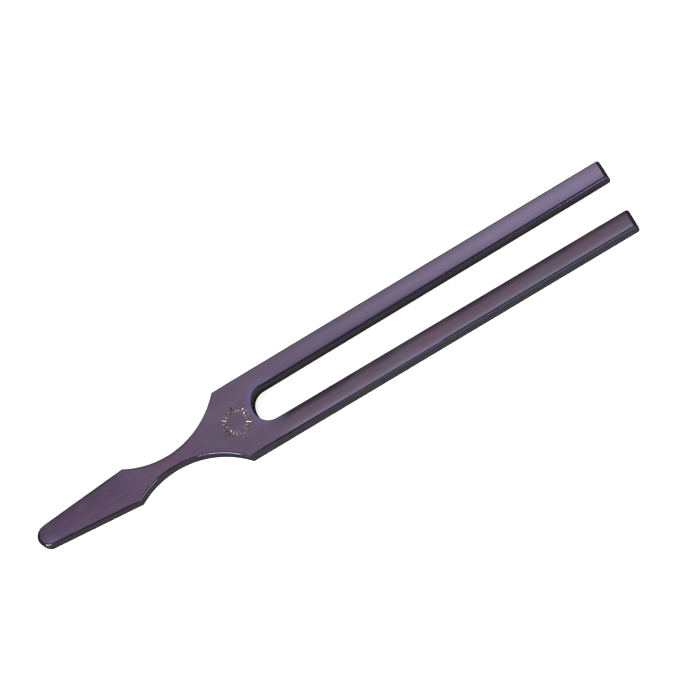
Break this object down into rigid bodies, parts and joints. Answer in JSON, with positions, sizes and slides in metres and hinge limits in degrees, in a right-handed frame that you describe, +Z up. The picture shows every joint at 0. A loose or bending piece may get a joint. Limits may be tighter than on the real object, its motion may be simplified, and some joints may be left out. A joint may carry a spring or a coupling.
{
  "type": "tuning fork",
  "caption": "Flat steel tuning fork with a long round-ended slot, a filed waist and a tapered handle; its tines spring in and out together on their flexing roots.",
  "frame": {"origin": "middle of the fork's box, on its underside, where it lies on a table", "axes": "+X along the fork from the end of the handle to the tips, +Y across it to the left, +Z up out of the flat face"},
  "size_m": [0.15, 0.0176, 0.0047],
  "materials": {
    "blued_steel": "satin steel, heat-blued to plum and violet"
  },
  "bodies": {
    "stem": {"stem_yoke": "blued_steel", "left_root": "blued_steel", "right_root": "blued_steel"},
    "left_tine": {"left_tine": "blued_steel"},
    "right_tine": {"right_tine": "blued_steel"}
  },
  "joints": [
    {"name": "left_tine_bend", "type": "hinge", "parent": "stem", "child": "left_tine", "pos_m": [-0.0048, 0.00637, 0.00237], "axis": [0, 0, 1], "range_deg": [-0.7, 0.7], "stiffness_Nm_per_rad": 209, "deforming": ["left_root"]},
    {"name": "right_tine_bend", "type": "hinge", "parent": "stem", "child": "right_tine", "pos_m": [-0.0048, -0.00637, 0.00237], "axis": [0, 0, 1], "range_deg": [-0.7, 0.7], "stiffness_Nm_per_rad": 209, "deforming": ["right_root"]}
  ],
  "couplings": [
    {"joint": "right_tine_bend", "follows": "left_tine_bend", "ratio": -1}
  ]
}
